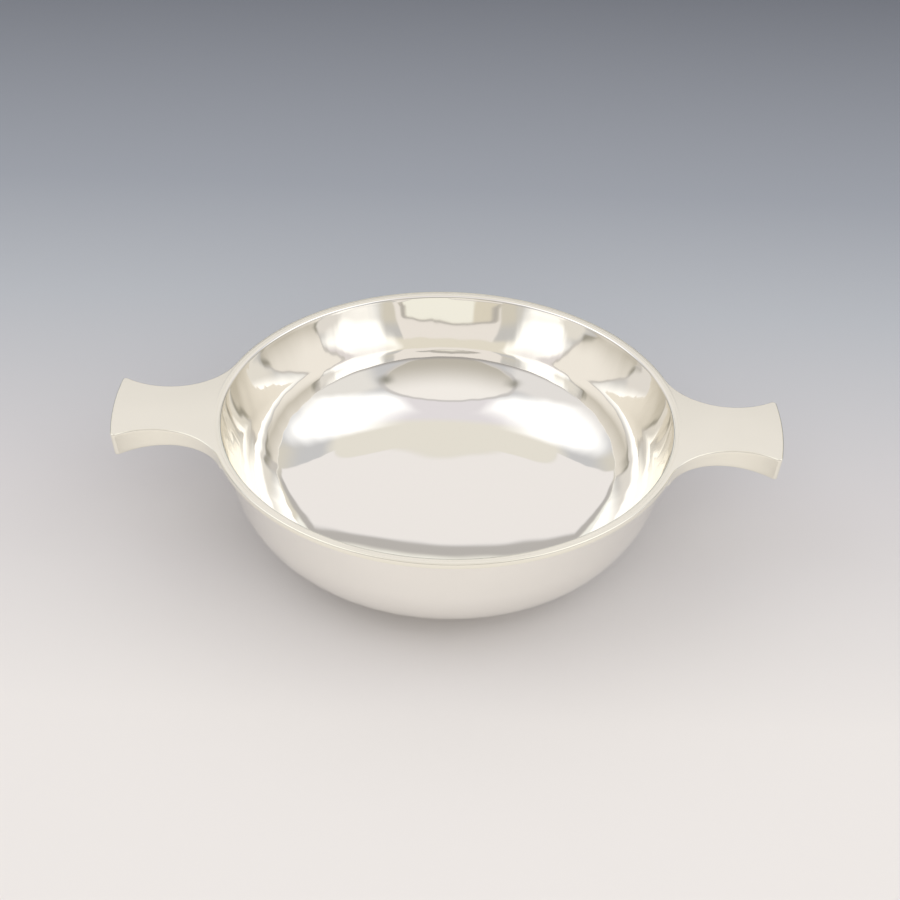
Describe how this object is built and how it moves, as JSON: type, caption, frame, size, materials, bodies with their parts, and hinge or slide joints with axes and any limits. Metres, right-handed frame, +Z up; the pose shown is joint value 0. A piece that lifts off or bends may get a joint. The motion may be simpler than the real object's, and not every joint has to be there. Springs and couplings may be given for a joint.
{
  "type": "quaich",
  "caption": "Shallow round two-handled drinking bowl of polished silver with a wired rim, flat flared lugs and a low foot ring.",
  "frame": {"origin": "centre of the foot ring's face, on the table under the bowl's axis", "axes": "+X along the lugs to the right-hand lug, +Y to the back as pictured, +Z up"},
  "size_m": [0.148, 0.104, 0.0348],
  "materials": {
    "polished_silver": "polished silver with fine wear"
  },
  "bodies": {
    "root": {"bowl": "polished_silver", "rim_wire": "polished_silver", "foot_ring": "polished_silver", "left_lug_top": "polished_silver", "left_lug_base": "polished_silver", "left_lug_front_wall": "polished_silver", "left_lug_back_wall": "polished_silver", "left_lug_end_wall": "polished_silver", "right_lug_top": "polished_silver", "right_lug_base": "polished_silver", "right_lug_front_wall": "polished_silver", "right_lug_back_wall": "polished_silver", "right_lug_end_wall": "polished_silver"}
  },
  "joints": []
}
